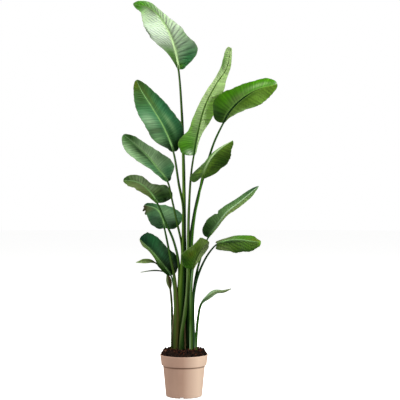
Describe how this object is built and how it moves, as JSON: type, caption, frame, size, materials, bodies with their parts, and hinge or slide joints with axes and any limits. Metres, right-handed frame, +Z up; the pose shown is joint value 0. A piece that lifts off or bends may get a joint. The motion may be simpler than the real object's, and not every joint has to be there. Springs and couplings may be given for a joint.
{
  "type": "potted bird of paradise",
  "caption": "Tall house plant of long-stalked paddle leaves that fan out left and right from a tight clump, growing in soil in a round tapered nursery pot.",
  "frame": {"origin": "middle of the pot's underside, on the surface the pot stands on", "axes": "+Z up along the pot's axis and the stalks; -Y is the front, the side the leaf fan is seen from; +X is to the right of that view"},
  "size_m": [0.7794, 0.562, 2.0065],
  "materials": {
    "pot": "matte",
    "soil": "matte",
    "stalk_green": "satin",
    "stalk_olive": "satin",
    "stalk_pale": "satin",
    "blade_dark": "satin",
    "blade_olive": "satin",
    "blade_fresh": "satin",
    "dry_sheath": "matte"
  },
  "bodies": {
    "root": {"pot": "pot", "soil": "soil", "leaf_stalk_01": "stalk_green", "leaf_blade_01": "blade_fresh", "leaf_stalk_02": "stalk_green", "leaf_blade_02": "blade_dark", "leaf_stalk_03": "stalk_green", "leaf_blade_03": "blade_dark", "leaf_stalk_04": "stalk_olive", "leaf_blade_04": "blade_dark", "leaf_stalk_05": "stalk_olive", "leaf_blade_05": "blade_dark", "leaf_stalk_06": "stalk_olive", "leaf_blade_06": "blade_dark", "leaf_stalk_07a": "stalk_olive", "leaf_blade_07a": "blade_olive", "leaf_blade_07b": "blade_olive", "leaf_stalk_08": "stalk_green", "leaf_blade_08": "blade_fresh", "leaf_stalk_09": "stalk_green", "leaf_blade_09": "blade_fresh", "leaf_stalk_10": "stalk_pale", "leaf_blade_10": "blade_olive", "leaf_stalk_11": "stalk_green", "leaf_blade_11": "blade_olive", "leaf_stalk_12": "stalk_pale", "leaf_blade_12": "blade_olive", "leaf_stalk_13": "stalk_pale", "leaf_blade_13": "blade_olive", "leaf_stalk_14": "stalk_pale", "leaf_blade_14": "blade_olive", "dry_sheath_left": "dry_sheath", "dry_sheath_middle": "dry_sheath"}
  },
  "joints": []
}
